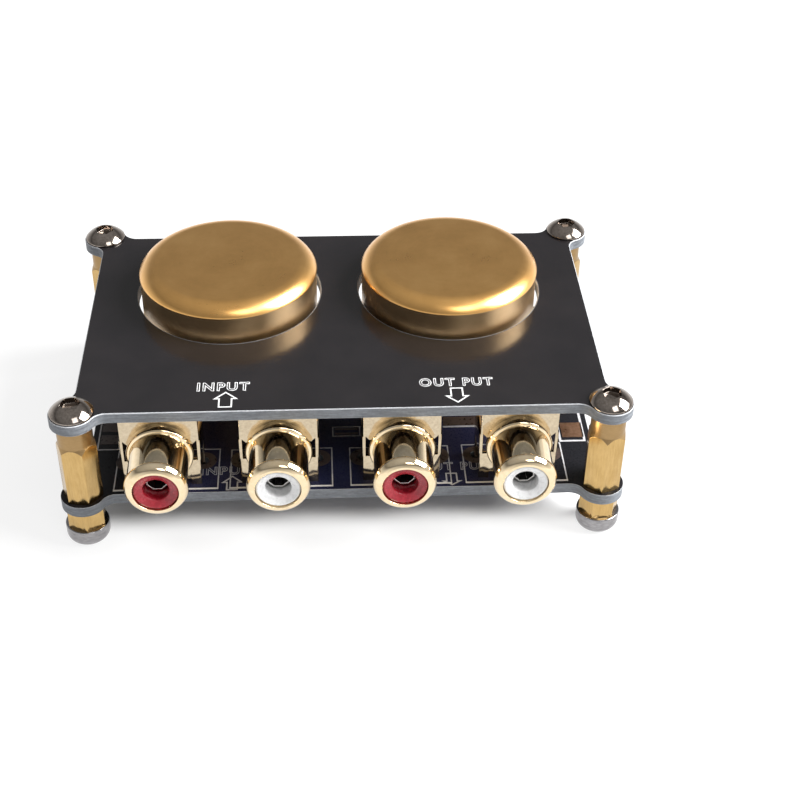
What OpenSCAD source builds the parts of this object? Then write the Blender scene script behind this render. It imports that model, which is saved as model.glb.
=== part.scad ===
// Passive preamplifier module: two boards held apart by hex standoffs, two canned audio
// transformers that rise through the upper board, and four phono jacks along the front edge.
// Front is -Y, up is +Z, and the origin is under the middle of the overall box.

/* [Boards] */
// Screw centre to screw centre across the width
screw_pitch_x = 69; // [67:0.5:76]
// Screw centre to screw centre from front to back
screw_pitch_y = 42; // [41:0.5:48]
// Radius of the round ear at each corner
ear_r = 3; // [2.9:0.1:3.6]
// Radius of the hollow curve that leads into each ear
ear_fillet_r = 2; // [1:0.1:3]
// Distance by which the front and back edges lie in front of the lines of screws
edge_shift = 0.4; // [0:0.1:0.6]
// Thickness of each board
board_t = 1.6; // [1.2:0.1:2]
// Diameter of the screw holes in the boards and spacers
screw_hole_d = 3.2; // [3.1:0.1:3.5]

/* [Stack] */
// Height of a foot, which is the head of a lower screw
foot_h = 2.8; // [2.2:0.1:3.2]
// Diameter of a foot
foot_d = 5.8; // [5.4:0.1:6]
// Radius of the rounded lower edge of a foot
foot_round = 1.4; // [0.6:0.1:1.6]
// Height of the hex spacer under the base board
spacer_h = 3; // [2:0.5:6]
// Length of the hex standoff between the boards
standoff_h = 12; // [11.8:0.1:16]
// Width across the flats of the standoffs and spacers
hex_flats = 4.7; // [4.7:0.1:5.2]
// Diameter of the turned neck at the top of a standoff
neck_d = 4.6; // [4.2:0.1:4.6]
// Height of that neck
neck_h = 3; // [2:0.5:4]
// Height of the sloped shoulder below the neck
shoulder_h = 1.2; // [0.6:0.1:2]
// Turn of the first standoff about its axis, as it was tightened
standoff_turn = 52; // [0:1:60]
// Turn of the first spacer about its axis, as it was tightened
spacer_turn = 35; // [0:1:60]

/* [Screws] */
// Diameter of the screw shanks
screw_d = 2.9; // [2.8:0.05:2.95]
// Radial gap between a shank and its threaded bore
thread_gap = 0.05; // [0.02:0.01:0.1]
// Diameter of an upper screw's domed head
button_d = 5.7; // [5.4:0.1:6]
// Height of that head
button_h = 1.65; // [1.4:0.05:2]
// Height of the straight rim below the dome
button_rim = 0.25; // [0.1:0.05:0.4]
// Width across the flats of the hex socket
socket_flats = 2.3; // [1.5:0.1:2.5]
// Depth of the hex socket
socket_depth = 1; // [0.6:0.1:1.2]
// Length of an upper screw below its head
top_screw_l = 6; // [5:0.5:7]
// Length of a lower screw above its foot
foot_screw_l = 9; // [8.5:0.5:10]
// Length of each slot of the cross recess in a foot
recess_l = 3.2; // [2.6:0.1:3.6]
// Width of those slots
recess_w = 0.7; // [0.5:0.1:1]
// Depth of those slots
recess_depth = 1.1; // [0.6:0.1:1.6]

/* [Transformers] */
// Diameter of a can
can_d = 24.8; // [23:0.2:26]
// Height of a can above the base board
can_h = 18.9; // [17.5:0.1:22]
// Thickness of the drawn metal
can_wall = 0.6; // [0.4:0.1:1]
// Height of the rounded upper edge
cap_h = 1.6; // [1.2:0.1:2]
// Width of that edge, seen from above
cap_w = 2.5; // [2.2:0.1:3.2]
// Depth of the line that drawing leaves under the rounded edge
draw_line = 0.08; // [0.04:0.01:0.15]
// Distance between the two cans' axes
can_pitch = 31; // [30:0.5:32]
// Distance of the cans' axes behind the middle of the boards
can_setback = 6.1; // [5:0.1:6.5]
// Radial gap between a can and its hole in the upper board
hole_gap = 0.4; // [0.3:0.05:0.7]
// Thickness of the disc that closes a can
disc_t = 2; // [1.5:0.1:3]
// Radial gap between the disc and the can
disc_gap = 0.1; // [0.05:0.05:0.2]
// Outer diameter of the ring core
core_outer_d = 17; // [16:0.5:18]
// Inner diameter of the ring core
core_inner_d = 9; // [8:0.5:10]
// Height of the ring core
core_h = 10; // [8:0.5:11]
// Thickness of the wire layer round the core
winding_t = 1.2; // [0.8:0.1:1.4]
// Gap between the wire layer and the core
winding_gap = 0.1; // [0.05:0.05:0.2]
// Arc of the core that each winding covers, in degrees
winding_arc = 150; // [120:5:165]
// Diameter of a transformer pin
pin_d = 0.8; // [0.6:0.1:1]
// Distance between the pins across the width
pin_pitch_x = 15; // [10:0.5:16]
// Distance between the pins from front to back
pin_pitch_y = 10; // [8:0.5:12]
// Radial gap between a pin or tail and its hole
pin_gap = 0.15; // [0.1:0.05:0.25]

/* [Jack bracket] */
// Distance between the two jacks of a pair
jack_pitch = 15.5; // [14:0.1:16]
// Distance between the middles of the two pairs
pair_pitch = 31.7; // [30.5:0.1:33]
// Sideways offset of the row of jacks
jack_shift = -0.45; // [-1:0.05:1]
// Distance of the brackets behind the front edge of the boards
bracket_setback = 1.7; // [1:0.1:3]
// Height of the jack axis above the base board
axis_h = 5.8; // [5.2:0.1:6.2]
// Width of the bracket's front plate
bracket_w = 10.2; // [9.8:0.1:11]
// Height of the bracket above the base board
bracket_h = 11.6; // [11:0.1:11.7]
// Thickness of the sheet metal
sheet_t = 0.5; // [0.4:0.1:0.6]
// Width of each front leg
leg_w = 1.35; // [1:0.05:1.6]
// Height of the side windows
window_h = 3.3; // [2.5:0.1:4]
// Height of the window's upper edge over the jack axis
window_top = 1.7; // [1.2:0.1:2]
// Width of the sheet left between the barrel's hole and a side window
web_w = 0.45; // [0.3:0.05:0.6]
// Fall of the window's upper edge towards the barrel
window_fall = 0.95; // [0.5:0.05:1.2]
// Distance that the side arms stand out beyond the front plate
arm_flare = 0.2; // [0.1:0.05:0.3]
// Length of the side arms behind the front plate
arm_l = 5.4; // [5:0.1:6.5]
// Width of the solder tail at the end of each side arm
tail_w = 1.2; // [0.8:0.1:1.4]
// Height of the opening between the front legs
arch_h = 1; // [0.5:0.1:1.2]

/* [Jack barrel] */
// Reach of the barrel in front of the bracket
barrel_l = 8.3; // [8:0.1:10]
// Diameter of the barrel
barrel_d = 7.8; // [7.4:0.1:8]
// Diameter of the base flange
flange_d = 8.8; // [8.6:0.1:9.2]
// Thickness of the base flange
flange_t = 1.1; // [0.8:0.1:1.5]
// Radius of the flange's rounded edge
flange_round = 0.4; // [0.2:0.1:0.6]
// Diameter of the mouth's lip
lip_d = 8.2; // [8.1:0.05:8.4]
// Length of the lip's straight part
lip_l = 0.35; // [0.2:0.05:0.8]
// Length of the slope from the barrel up to the lip
lip_slope = 0.5; // [0.3:0.1:1]
// Length of the lip's sloping front
lip_front = 1.1; // [0.8:0.05:1.2]
// Width of the flat ring at the very front of the lip
lip_flat = 0.35; // [0.2:0.05:0.6]
// Diameter of the neck that passes through the bracket
rivet_d = 6.8; // [6.6:0.1:7.2]
// Diameter of the edge rolled over behind the bracket
roll_d = 7.6; // [7.4:0.1:8]
// Thickness of that rolled edge
roll_t = 0.45; // [0.3:0.05:0.6]

/* [Jack insert and contact] */
// Diameter of the coloured insert
insert_d = 5.8; // [5.4:0.1:6]
// Gap round the insert in the barrel
insert_gap = 0.05; // [0.02:0.01:0.1]
// Depth of the insert's face inside the mouth
insert_recess = 0.2; // [0:0.05:0.5]
// Diameter of the shallow dish in the insert's face
dish_d = 5.2; // [4.4:0.1:5.4]
// Depth of that dish
dish_depth = 0.45; // [0.3:0.05:0.9]
// Diameter of the plug hole in the insert
plug_hole_d = 3.35; // [3.35:0.05:3.6]
// Length of the insert's collar behind the bracket
collar_l = 3; // [2.5:0.1:3.5]
// Diameter of that collar
collar_d = 7.6; // [7:0.1:8]
// Inner diameter of the spring contact, which takes the plug's pin
contact_inner_d = 3.2; // [3.15:0.05:3.3]
// Thickness of the spring contact
contact_t = 0.3; // [0.2:0.05:0.35]
// Depth of the contact's front edge behind the insert's face
contact_setback = 2.1; // [1.6:0.1:2.6]
// Width of the slits in the spring contact
slit_w = 0.4; // [0.3:0.1:0.6]
// Length of those slits
slit_l = 3; // [2:0.1:4]
// Diameter of the stem that joins the contact to its tail
stem_d = 1; // [0.8:0.1:1.2]

/* [Solder] */
// Reach of pins and tails below the base board
tail_reach = 1.1; // [0.8:0.1:1.5]
// Diameter of a solder joint at the board
solder_d = 2.4; // [2:0.1:2.6]
// Height of a solder joint
solder_h = 0.8; // [0.5:0.1:0.8]
// Thickness of solder left round a pin at the tip of a joint
solder_tip = 0.15; // [0.1:0.05:0.3]

/* [Hidden] */
$fn = 64;
// Amount by which a cutter passes the face that it cuts
over = 1;

// Heights of the stack, from the feet up
spacer_z = foot_h;
base_z = spacer_z + spacer_h;
deck_z = base_z + board_t;
plate_z = deck_z + standoff_h;
face_z = plate_z + board_t;

// The boards are shifted back so that the jacks' overhang is counted in the middle of the box
bracket_y = bracket_setback - screw_pitch_y / 2 - edge_shift;
board_y = (barrel_l - bracket_y - screw_pitch_y / 2 - ear_r) / 2;
jack_y = board_y + bracket_y;
jack_z = deck_z + axis_h;
can_y = board_y + can_setback;
can_r = can_d / 2;
// Radius of the arc that rises from the wall to the flat top, and height of its middle
cap_r = (pow(cap_w, 2) + pow(cap_h, 2)) / (2 * cap_h);
arc_z = can_h - cap_r;
thread_d = screw_d + 2 * thread_gap;
hex_corners = hex_flats / cos(30);
// Overlap of an ear and its hollow curve, so that the two arcs cross and do not only touch
ear_overlap = 0.02;
// Distance of each board edge beyond its line of screws: front, right, back, left
EDGE_OUT = [edge_shift, 0, -edge_shift, 0];

// Corners in the order front left, front right, back right, back left
CORNERS = [[-1, -1], [1, -1], [1, 1], [-1, 1]];
// Angle between one corner's hex piece and the next, as they happen to lie
turn_step = 30;
// Jack sockets in the order right input, left input, right output, left output
INPUT_RIGHT = -pair_pitch / 2 - jack_pitch / 2 + jack_shift;
INPUT_LEFT = -pair_pitch / 2 + jack_pitch / 2 + jack_shift;
OUTPUT_RIGHT = pair_pitch / 2 - jack_pitch / 2 + jack_shift;
OUTPUT_LEFT = pair_pitch / 2 + jack_pitch / 2 + jack_shift;
JACKS = [INPUT_RIGHT, INPUT_LEFT, OUTPUT_RIGHT, OUTPUT_LEFT];
CANS = [-can_pitch / 2, can_pitch / 2];

// Places of the jack's solder tails, measured from its axis and behind the front plate
arm_x = bracket_w / 2 + arm_flare - sheet_t;
arm_tail_y = arm_l - tail_w / 2;
neck_hole_d = rivet_d + 2 * insert_gap;
window_w = arm_x - neck_hole_d / 2 - web_w;
contact_outer_d = contact_inner_d + 2 * contact_t;
collar_back = sheet_t + roll_t + collar_l;
stem_tail_y = collar_back + sheet_t / 2;
arm_hole_d = tail_w + 2 * pin_gap;
stem_hole_d = stem_d + 2 * pin_gap;
pin_hole_d = pin_d + 2 * pin_gap;

// Colours
BOARD_BLACK = [0.10, 0.10, 0.12];
BOARD_NAVY = [0.09, 0.09, 0.16];
BRASS = [0.78, 0.62, 0.32];
DARK_NICKEL = [0.30, 0.28, 0.26];
SILVER = [0.72, 0.72, 0.75];
CAN_GOLD = [0.66, 0.52, 0.30];
FERRITE = [0.22, 0.21, 0.20];
COPPER = [0.72, 0.38, 0.20];
PHENOLIC = [0.30, 0.20, 0.12];
TIN = [0.75, 0.75, 0.74];
PALE_GOLD = [0.88, 0.78, 0.52];
RED = [0.72, 0.10, 0.14];
WHITE = [0.93, 0.93, 0.94];

// Screw axis of one corner
module at_corner(i) {
    x = CORNERS[i][0] * screw_pitch_x / 2;
    y = CORNERS[i][1] * screw_pitch_y / 2;
    translate([x, board_y + y, 0])
        children();
}

module at_corners() {
    for (i = [0:3])
        at_corner(i)
            children();
}

module hex_bar(h) {
    cylinder(d = hex_corners, h = h, $fn = 6);
}

// Web between a straight board edge along +X, which lies out beyond the origin, and the ear round it
module ear_web(out) {
    drop = ear_fillet_r + out;
    run = sqrt(pow(ear_r + ear_fillet_r - ear_overlap, 2) - pow(drop, 2));
    difference() {
        linear_extrude(board_t)
            polygon([[0, 0], [0, ear_r], [run, ear_r], [run, -drop]]);
        translate([run, -drop, -over])
            cylinder(r = ear_fillet_r, h = board_t + 2 * over);
    }
}

module board_ear(first_out, second_out) {
    cylinder(r = ear_r, h = board_t);
    ear_web(first_out);
    mirror([1, -1, 0])
        ear_web(second_out);
}

// Board outline with its four ears and screw holes, lying on z = 0
module board_blank() {
    difference() {
        union() {
            translate([-screw_pitch_x / 2, board_y - screw_pitch_y / 2 - edge_shift, 0])
                cube([screw_pitch_x, screw_pitch_y, board_t]);
            for (i = [0:3])
                at_corner(i)
                    rotate(90 * i)
                        board_ear(EDGE_OUT[i], EDGE_OUT[(i + 3) % 4]);
        }
        at_corners()
            translate([0, 0, -over])
                cylinder(d = screw_hole_d, h = board_t + 2 * over);
    }
}

module top_plate() {
    color(BOARD_BLACK)
        translate([0, 0, plate_z])
            difference() {
                board_blank();
                for (x = CANS)
                    translate([x, can_y, -over])
                        cylinder(r = can_r + hole_gap, h = board_t + 2 * over);
            }
}

module base_board() {
    color(BOARD_NAVY)
        translate([0, 0, base_z])
            difference() {
                board_blank();
                at_pins()
                    translate([0, 0, -over])
                        cylinder(d = pin_hole_d, h = board_t + 2 * over);
                at_arm_tails()
                    translate([0, 0, -over])
                        cylinder(d = arm_hole_d, h = board_t + 2 * over);
                at_stem_tails()
                    translate([0, 0, -over])
                        cylinder(d = stem_hole_d, h = board_t + 2 * over);
            }
}

// Hex body with a sloped shoulder, a turned neck and a threaded bore right through
module standoff() {
    body_h = standoff_h - neck_h - shoulder_h;
    difference() {
        union() {
            hex_bar(body_h);
            translate([0, 0, body_h])
                intersection() {
                    hex_bar(shoulder_h);
                    cylinder(d1 = hex_corners + thread_gap, d2 = neck_d, h = shoulder_h);
                }
            translate([0, 0, body_h + shoulder_h])
                cylinder(d = neck_d, h = neck_h);
        }
        translate([0, 0, -over])
            cylinder(d = thread_d, h = standoff_h + 2 * over);
    }
}

module standoffs() {
    color(BRASS)
        for (i = [0:3])
            at_corner(i)
                translate([0, 0, deck_z])
                    rotate(standoff_turn + turn_step * i)
                        standoff();
}

module lower_spacers() {
    color(BRASS)
        for (i = [0:3])
            at_corner(i)
                translate([0, 0, spacer_z])
                    rotate(spacer_turn - turn_step * i)
                        difference() {
                            hex_bar(spacer_h);
                            translate([0, 0, -over])
                                cylinder(d = screw_hole_d, h = spacer_h + 2 * over);
                        }
}

// Domed head with a hex socket, seated on z = 0, and its shank below
module button_screw() {
    dome_h = button_h - button_rim;
    dome_r = (pow(button_d / 2, 2) + pow(dome_h, 2)) / (2 * dome_h);
    difference() {
        union() {
            cylinder(d = button_d, h = button_rim);
            translate([0, 0, button_rim])
                intersection() {
                    translate([0, 0, dome_h - dome_r])
                        sphere(r = dome_r);
                    cylinder(d = 2 * button_d, h = button_h);
                }
            translate([0, 0, -top_screw_l])
                cylinder(d = screw_d, h = top_screw_l + button_rim);
        }
        translate([0, 0, button_h - socket_depth])
            cylinder(d = socket_flats / cos(30), h = socket_depth + over, $fn = 6);
    }
}

module top_screws() {
    color(DARK_NICKEL)
        at_corners()
            translate([0, 0, face_z])
                button_screw();
}

// Half section of a round foot with a rounded lower edge
module foot_section() {
    foot_r = foot_d / 2;
    translate([0, foot_round])
        square([foot_r, foot_h - foot_round]);
    square([foot_r - foot_round, foot_h]);
    translate([foot_r - foot_round, foot_round])
        circle(r = foot_round);
}

module foot_screw() {
    difference() {
        union() {
            rotate_extrude()
                foot_section();
            cylinder(d = screw_d, h = foot_h + foot_screw_l);
        }
        for (turn = [0, 90])
            rotate(turn)
                translate([-recess_l / 2, -recess_w / 2, -over])
                    cube([recess_l, recess_w, recess_depth + over]);
    }
}

module foot_screws() {
    color(SILVER)
        at_corners()
            foot_screw();
}

// Half section of a round plug with a rounded upper edge, out to one radius
module cap_section(outer_r, arc_r) {
    flat_r = can_r - cap_w;
    intersection() {
        union() {
            square([outer_r, arc_z]);
            square([flat_r, arc_z + arc_r]);
            translate([flat_r, arc_z])
                circle(r = arc_r);
        }
        square([outer_r, can_h]);
    }
}

// Half section of a drawn can: straight wall, drawing line, rounded edge and flat top
module can_section() {
    cap_z = can_h - cap_h;
    difference() {
        union() {
            square([can_r - draw_line, cap_z]);
            intersection() {
                cap_section(can_r, cap_r);
                translate([0, cap_z])
                    square([can_r, cap_h]);
            }
        }
        cap_section(can_r - can_wall, cap_r - can_wall);
    }
}

module can(x) {
    color(CAN_GOLD)
        translate([x, can_y, deck_z])
            rotate_extrude($fn = 128)
                can_section();
}

// Height of the winding's underside, where it lies on the disc
winding_z = deck_z + disc_t;
core_z = winding_z + winding_t + winding_gap;
winding_inner_r = core_inner_d / 2 - winding_gap - winding_t;
winding_outer_r = core_outer_d / 2 + winding_gap + winding_t;
winding_h = core_h + 2 * (winding_gap + winding_t);

module ring(inner_r, outer_r, h) {
    rotate_extrude()
        translate([inner_r, 0])
            square([outer_r - inner_r, h]);
}

module core(x) {
    color(FERRITE)
        translate([x, can_y, core_z])
            ring(core_inner_d / 2, core_outer_d / 2, core_h);
}

// Sleeve of wire round one side of the core, open at both ends
module winding(x, facing) {
    color(COPPER)
        translate([x, can_y, winding_z])
            difference() {
                rotate(facing - winding_arc / 2)
                    rotate_extrude(angle = winding_arc)
                        translate([winding_inner_r, 0])
                            square([winding_outer_r - winding_inner_r, winding_h]);
                translate([0, 0, winding_t])
                    ring(winding_inner_r + winding_t, winding_outer_r - winding_t, winding_h - 2 * winding_t);
            }
}

module disc(x) {
    color(PHENOLIC)
        difference() {
            translate([x, can_y, deck_z])
                cylinder(r = can_r - can_wall - disc_gap, h = disc_t);
            pins_of(x)
                translate([0, 0, deck_z - over])
                    cylinder(d = pin_hole_d, h = disc_t + 2 * over);
        }
}

// The four pin places of one transformer
module pins_of(x) {
    for (i = [0:3])
        translate([x + CORNERS[i][0] * pin_pitch_x / 2, can_y + CORNERS[i][1] * pin_pitch_y / 2, 0])
            children();
}

module at_pins() {
    for (x = CANS)
        pins_of(x)
            children();
}

module pins(x) {
    color(TIN)
        pins_of(x)
            translate([0, 0, base_z - tail_reach])
                cylinder(d = pin_d, h = tail_reach + board_t + disc_t);
}

// Places where the jacks' side arms pass through the base board
module at_arm_tails() {
    for (x = JACKS)
        for (side = [-1, 1])
            translate([x + side * (arm_x + sheet_t / 2), jack_y + arm_tail_y, 0])
                children();
}

// Places where the jacks' centre tails pass through the base board
module at_stem_tails() {
    for (x = JACKS)
        translate([x, jack_y + stem_tail_y, 0])
            children();
}

// Jack frame: the axis points to the front along local +Z, local +Y is up, and z = 0 is the plate's face
module at_jack(x) {
    translate([x, jack_y, jack_z])
        rotate([90, 0, 0])
            children();
}

// Stamped plate with two front legs, side windows and two arms folded back to solder tails
module bracket(x) {
    window_bottom = window_top - window_h;
    leg_x = bracket_w / 2 - leg_w;
    tail_end = axis_h + board_t + tail_reach;
    color(PALE_GOLD)
        at_jack(x)
            difference() {
                union() {
                    translate([-bracket_w / 2, -axis_h, -sheet_t])
                        cube([bracket_w, bracket_h, sheet_t]);
                    for (side = [0, 1])
                        mirror([side, 0, 0]) {
                            translate([arm_x, window_bottom, -arm_l])
                                cube([sheet_t, window_h, arm_l]);
                            translate([arm_x, -tail_end, -arm_l])
                                cube([sheet_t, tail_end + window_top, tail_w]);
                        }
                }
                for (side = [0, 1])
                    mirror([side, 0, 0])
                        translate([arm_x, 0, -sheet_t - over])
                            linear_extrude(sheet_t + 2 * over)
                                polygon([
                                    [0, window_bottom],
                                    [0, window_top],
                                    [-window_w, window_top - window_fall],
                                    [-window_w, window_bottom]
                                ]);
                translate([-leg_x, -axis_h - over, -sheet_t - over])
                    cube([2 * leg_x, arch_h + over, sheet_t + 2 * over]);
                translate([0, 0, -sheet_t - over])
                    cylinder(d = neck_hole_d, h = sheet_t + 2 * over);
            }
}

// Rectangle of a half section, between two radii and two places along the axis
module band(inner_r, outer_r, low, high) {
    translate([inner_r, low])
        square([outer_r - inner_r, high - low]);
}

// Half section of the barrel: rolled edge, neck, flange, tube and flared lip
module barrel_section() {
    bore_r = insert_d / 2 + insert_gap;
    barrel_r = barrel_d / 2;
    flange_r = flange_d / 2;
    lip_r = lip_d / 2;
    lip_start = barrel_l - lip_front - lip_l;
    band(bore_r, roll_d / 2, -sheet_t - roll_t, -sheet_t);
    band(bore_r, rivet_d / 2, -sheet_t, 0);
    band(bore_r, flange_r, 0, flange_t - flange_round);
    band(bore_r, flange_r - flange_round, 0, flange_t);
    translate([flange_r - flange_round, flange_t - flange_round])
        circle(r = flange_round);
    band(bore_r, barrel_r, 0, lip_start);
    polygon([
        [bore_r, lip_start - lip_slope],
        [barrel_r, lip_start - lip_slope],
        [lip_r, lip_start],
        [lip_r, lip_start + lip_l],
        [bore_r + lip_flat, barrel_l],
        [bore_r, barrel_l]
    ]);
}

module barrel(x) {
    color(PALE_GOLD)
        at_jack(x)
            rotate_extrude()
                barrel_section();
}

// Places along the jack axis that the insert and its contact share
insert_front = barrel_l - insert_recess;
contact_front = insert_front - contact_setback;
contact_back = -sheet_t - roll_t;
contact_gap_r = contact_outer_d / 2 + insert_gap;

// Half section of the insert: dished face, plug hole, chamber for the contact and rear collar
module insert_section() {
    stem_gap_r = stem_d / 2 + insert_gap;
    insert_r = insert_d / 2;
    polygon([
        [stem_gap_r, -collar_back],
        [collar_d / 2, -collar_back],
        [collar_d / 2, -sheet_t - roll_t],
        [insert_r, -sheet_t - roll_t],
        [insert_r, insert_front],
        [dish_d / 2, insert_front],
        [plug_hole_d / 2, insert_front - dish_depth],
        [plug_hole_d / 2, contact_front],
        [contact_gap_r, contact_front],
        [contact_gap_r, contact_back],
        [stem_gap_r, contact_back]
    ]);
}

module insert(x, tint) {
    color(tint)
        at_jack(x)
            rotate_extrude()
                insert_section();
}

// Split spring sleeve, a stem through the collar and a flat tail down through the board
module contact(x) {
    tail_end = axis_h + board_t + tail_reach;
    color(TIN)
        at_jack(x) {
            difference() {
                translate([0, 0, contact_back])
                    cylinder(d = contact_outer_d, h = contact_front - contact_back);
                translate([0, 0, contact_back + contact_t])
                    cylinder(d = contact_inner_d, h = contact_front - contact_back);
                translate([-slit_w / 2, -contact_outer_d, contact_front - slit_l])
                    cube([slit_w, 2 * contact_outer_d, slit_l + over]);
            }
            translate([0, 0, -collar_back - sheet_t])
                cylinder(d = stem_d, h = collar_back + sheet_t + contact_back + contact_t);
            translate([-stem_d / 2, -tail_end, -collar_back - sheet_t])
                cube([stem_d, tail_end, sheet_t]);
        }
}

// Cone of solder under the board, round a hole of the given size
module solder_cone(hole_d) {
    translate([0, 0, base_z - solder_h])
        difference() {
            cylinder(d1 = hole_d + 2 * solder_tip, d2 = solder_d, h = solder_h);
            translate([0, 0, -over])
                cylinder(d = hole_d, h = solder_h + 2 * over);
        }
}

module solder_joints() {
    color(SILVER) {
        at_pins()
            solder_cone(pin_hole_d);
        at_arm_tails()
            solder_cone(arm_hole_d);
        at_stem_tails()
            solder_cone(stem_hole_d);
    }
}

top_plate();
base_board();
standoffs();
lower_spacers();
top_screws();
foot_screws();
can(CANS[0]);  // left_can
core(CANS[0]);  // left_core
winding(CANS[0], 180);  // left_primary_winding
winding(CANS[0], 0);  // left_secondary_winding
disc(CANS[0]);  // left_disc
pins(CANS[0]);  // left_pins
can(CANS[1]);  // right_can
core(CANS[1]);  // right_core
winding(CANS[1], 180);  // right_primary_winding
winding(CANS[1], 0);  // right_secondary_winding
disc(CANS[1]);  // right_disc
pins(CANS[1]);  // right_pins
bracket(INPUT_RIGHT);  // input_right_bracket
barrel(INPUT_RIGHT);  // input_right_barrel
insert(INPUT_RIGHT, RED);  // input_right_insert
contact(INPUT_RIGHT);  // input_right_contact
bracket(INPUT_LEFT);  // input_left_bracket
barrel(INPUT_LEFT);  // input_left_barrel
insert(INPUT_LEFT, WHITE);  // input_left_insert
contact(INPUT_LEFT);  // input_left_contact
bracket(OUTPUT_RIGHT);  // output_right_bracket
barrel(OUTPUT_RIGHT);  // output_right_barrel
insert(OUTPUT_RIGHT, RED);  // output_right_insert
contact(OUTPUT_RIGHT);  // output_right_contact
bracket(OUTPUT_LEFT);  // output_left_bracket
barrel(OUTPUT_LEFT);  // output_left_barrel
insert(OUTPUT_LEFT, WHITE);  // output_left_insert
contact(OUTPUT_LEFT);  // output_left_contact
solder_joints();
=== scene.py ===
import math

import bpy
from mathutils import Matrix, Vector


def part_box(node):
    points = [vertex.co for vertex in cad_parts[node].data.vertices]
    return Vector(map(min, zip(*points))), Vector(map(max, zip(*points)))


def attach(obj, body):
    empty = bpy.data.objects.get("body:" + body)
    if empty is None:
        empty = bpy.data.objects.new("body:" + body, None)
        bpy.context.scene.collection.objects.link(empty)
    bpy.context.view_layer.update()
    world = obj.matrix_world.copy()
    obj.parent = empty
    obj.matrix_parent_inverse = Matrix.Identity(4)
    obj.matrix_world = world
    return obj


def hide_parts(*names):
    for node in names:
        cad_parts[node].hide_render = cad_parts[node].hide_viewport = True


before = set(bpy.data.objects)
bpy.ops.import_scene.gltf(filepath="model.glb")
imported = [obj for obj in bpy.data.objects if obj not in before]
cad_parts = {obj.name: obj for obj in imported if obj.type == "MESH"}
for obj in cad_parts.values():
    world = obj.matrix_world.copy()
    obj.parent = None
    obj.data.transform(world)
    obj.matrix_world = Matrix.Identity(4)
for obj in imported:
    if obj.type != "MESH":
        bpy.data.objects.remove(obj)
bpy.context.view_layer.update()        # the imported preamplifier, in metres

mm = 0.001
upward = Vector((0, 0, 1))
toFront = Vector((0, -1, 0))
toRight = Vector((1, 0, 0))
origin = Vector((0, 0, 0))
jackNames = ("input_right", "input_left", "output_right", "output_left")
canSides = ("left", "right")


# camera fitted to the corner screws of the photograph, in mm and degrees
photoView = {
    "at": (-2.403, -167.727, 137.943),
    "yaw": 3.691,
    "pitch": 37.898,
    "roll": 1.092,
    "focalPixels": 1479.14,
    "framePixels": 800,
    "sensor": 36,
    "clip": 5,
}


def setCamera(view):
    yaw, pitch, roll = (math.radians(view[turn]) for turn in ("yaw", "pitch", "roll"))
    ahead = Vector((math.sin(yaw) * math.cos(pitch), math.cos(yaw) * math.cos(pitch), -math.sin(pitch)))
    level = Vector((math.cos(yaw), -math.sin(yaw), 0))
    above = level.cross(ahead)
    across = math.cos(roll) * level + math.sin(roll) * above
    top = math.cos(roll) * above - math.sin(roll) * level
    bpy.ops.object.camera_add()
    camera = bpy.context.object
    axes = Matrix((across, top, -ahead)).transposed().to_4x4()
    camera.matrix_world = Matrix.Translation(Vector(view["at"]) * mm) @ axes
    camera.data.sensor_width = view["sensor"]
    camera.data.lens = view["sensor"] * view["focalPixels"] / view["framePixels"]
    camera.data.clip_start = view["clip"] * mm
    bpy.context.scene.camera = camera


# each paint keeps the nodes, links and coordinate of its tree at hand while it is being mixed
def openTree(tree, coordinate):
    place = tree.nodes.new("ShaderNodeTexCoord")
    return {"nodes": tree.nodes, "link": tree.links.new, "place": place.outputs[coordinate]}


def startPaint(name):
    material = bpy.data.materials.new(name)
    material.use_nodes = True
    paint = openTree(material.node_tree, "Object")
    paint.update(material=material, shader=material.node_tree.nodes["Principled BSDF"])
    return paint


def splitPlace(paint):
    split = paint["nodes"].new("ShaderNodeSeparateXYZ")
    paint["link"](paint["place"], split.inputs[0])
    return split.outputs


def addNoise(paint, grain, detail=3.0, rough=0.55, stretch=(1, 1, 1), vector=None):
    # grain is the size of the noise in mm
    mapping = paint["nodes"].new("ShaderNodeMapping")
    mapping.inputs["Scale"].default_value = stretch
    noise = paint["nodes"].new("ShaderNodeTexNoise")
    noise.inputs["Scale"].default_value = 1 / (grain * mm)
    noise.inputs["Detail"].default_value = detail
    noise.inputs["Roughness"].default_value = rough
    paint["link"](vector or paint["place"], mapping.inputs["Vector"])
    paint["link"](mapping.outputs["Vector"], noise.inputs["Vector"])
    return noise.outputs["Fac"]


def addMath(paint, operation, first, second=None):
    step = paint["nodes"].new("ShaderNodeMath")
    step.operation = operation
    for socket, value in zip(step.inputs, (first, second)):
        if isinstance(value, (int, float)):
            socket.default_value = value
        elif value is not None:
            paint["link"](value, socket)
    return step.outputs[0]


def addBlend(paint, first, second, share):
    # share of the first and the rest of the second
    parts = [addMath(paint, "MULTIPLY", value, part) for value, part in ((first, share), (second, 1 - share))]
    return addMath(paint, "ADD", *parts)


def addRange(paint, value, low, high, fromLow=0.3, fromHigh=0.7):
    span = paint["nodes"].new("ShaderNodeMapRange")
    for socket, number in zip(("From Min", "From Max", "To Min", "To Max"), (fromLow, fromHigh, low, high)):
        span.inputs[socket].default_value = number
    paint["link"](value, span.inputs["Value"])
    return span.outputs["Result"]


def addColours(paint, value, stops):
    ramp = paint["nodes"].new("ShaderNodeValToRGB")
    band = ramp.color_ramp
    while len(band.elements) < len(stops):
        band.elements.new(0.5)
    for element, (spot, colour) in zip(band.elements, stops):
        element.position = spot
        element.color = (*colour, 1)
    paint["link"](value, ramp.inputs["Fac"])
    return ramp.outputs["Color"]


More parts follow.
